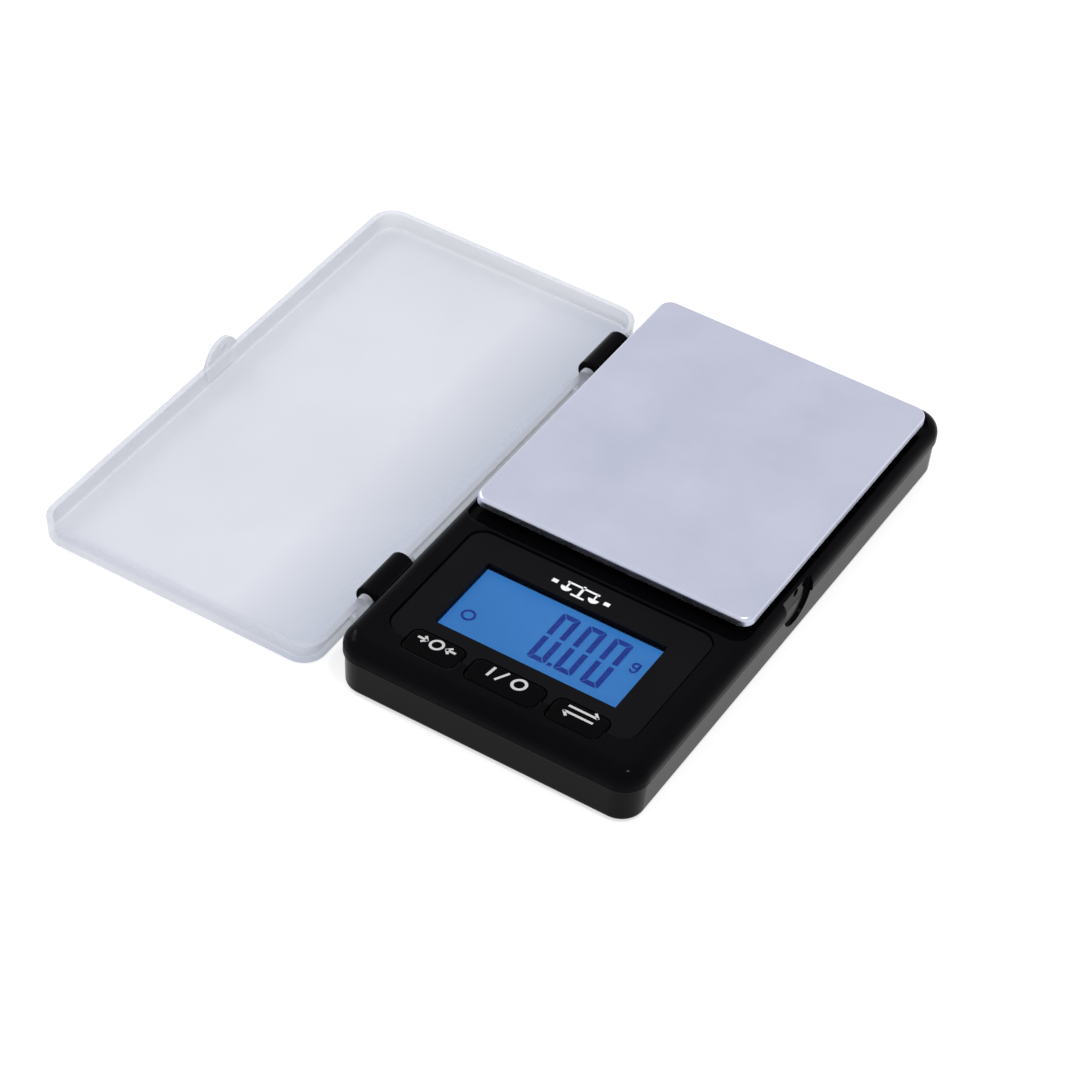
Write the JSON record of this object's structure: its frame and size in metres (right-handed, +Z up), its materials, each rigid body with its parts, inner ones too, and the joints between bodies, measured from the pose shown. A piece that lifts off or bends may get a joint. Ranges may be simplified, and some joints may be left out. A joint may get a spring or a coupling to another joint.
{
  "type": "digital gram scale",
  "caption": "Pocket digital gram scale: black case with backlit readout and keys, satin steel weighing pan, and a clear tray lid hinged at the side, folded open flat.",
  "frame": {"origin": "on the table, at the middle of the open scale's footprint, straight below the lid's hinge line", "axes": "+Z up; +X from the open lid across the hinge to the case; +Y from the readout end to the far end of the weighing pan"},
  "size_m": [0.131, 0.12, 0.016],
  "materials": {
    "case_black": "polished black ABS with a fine moulded skin",
    "panel_grey": "satin very dark grey printed inlay",
    "window_clear": "thin clear acrylic",
    "lcd_blue": "backlit blue liquid-crystal cell",
    "backlight_white": "white light guide",
    "holder_black": "moulded black plastic",
    "zebra": "layered conductive silicone",
    "board_green": "green solder mask on glass-fibre laminate",
    "chip_black": "black epoxy",
    "switch_black": "moulded black plastic",
    "plunger_ivory": "ivory acetal",
    "screw_steel": "nickel-plated steel",
    "cell_steel": "satin stainless cell can",
    "contact_metal": "gold-flashed phosphor bronze",
    "beam_aluminium": "milled aluminium",
    "gauge_foil": "amber polyimide film",
    "gauge_silicone": "white silicone",
    "wire_pvc": "PVC insulation",
    "carrier_black": "satin black ABS",
    "pad_white": "thin adhesive foam",
    "pan_steel": "fine satin stainless steel",
    "foot_rubber": "black rubber",
    "button_black": "glossy black key cap",
    "lid_clear": "clear lightly frosted polystyrene"
  },
  "bodies": {
    "case": {"bottom_case": "case_black", "top_case": "case_black", "display_panel": "panel_grey", "display_window": "window_clear", "lcd_glass": "lcd_blue", "lcd_backlight": "backlight_white", "lcd_holder": "holder_black", "zebra_strip": "zebra", "main_circuit_board": "board_green", "circuit_chips": "chip_black", "tact_switch_housings": "switch_black", "board_screws": "screw_steel", "coin_cells": "cell_steel", "negative_contact_leaves": "contact_metal", "positive_contact_strap": "contact_metal", "load_cell": "beam_aluminium", "strain_gauges": "gauge_foil", "gauge_coating": "gauge_silicone", "load_cell_wires": "wire_pvc", "load_cell_base_screws": "screw_steel", "overload_stop_screw": "screw_steel", "case_screws": "screw_steel", "rubber_feet": "foot_rubber"},
    "lid": {"lid": "lid_clear"},
    "platform": {"platform_carrier": "carrier_black", "carrier_screws": "screw_steel", "pan_adhesive_pads": "pad_white", "weighing_pan": "pan_steel"},
    "battery_door": {"battery_door": "case_black"},
    "tare_key": {"tare_button": "button_black", "tare_switch_plunger": "plunger_ivory"},
    "power_key": {"power_button": "button_black", "power_switch_plunger": "plunger_ivory"},
    "unit_key": {"unit_button": "button_black", "unit_switch_plunger": "plunger_ivory"}
  },
  "joints": [
    {"name": "lid_hinge", "type": "hinge", "parent": "case", "child": "lid", "pos_m": [0, 0, 0.009], "axis": [0, 1, 0], "range_deg": [0, 180]},
    {"name": "platform_travel", "type": "slide", "parent": "case", "child": "platform", "axis": [0, 0, 1], "range_m": [-0.0004, 0], "stiffness_N_per_m": 16000, "springref_m": 0.00003, "deforming": ["load_cell"]},
    {"name": "battery_door_release", "type": "slide", "parent": "case", "child": "battery_door", "axis": [0, 0, -1], "range_m": [0, 0.008]},
    {"name": "tare_key_press", "type": "slide", "parent": "case", "child": "tare_key", "axis": [0, 0, 1], "range_m": [-0.0003, 0], "stiffness_N_per_m": 5000, "springref_m": 0.00002},
    {"name": "power_key_press", "type": "slide", "parent": "case", "child": "power_key", "axis": [0, 0, 1], "range_m": [-0.0003, 0], "stiffness_N_per_m": 5000, "springref_m": 0.00002},
    {"name": "unit_key_press", "type": "slide", "parent": "case", "child": "unit_key", "axis": [0, 0, 1], "range_m": [-0.0003, 0], "stiffness_N_per_m": 5000, "springref_m": 0.00002}
  ]
}
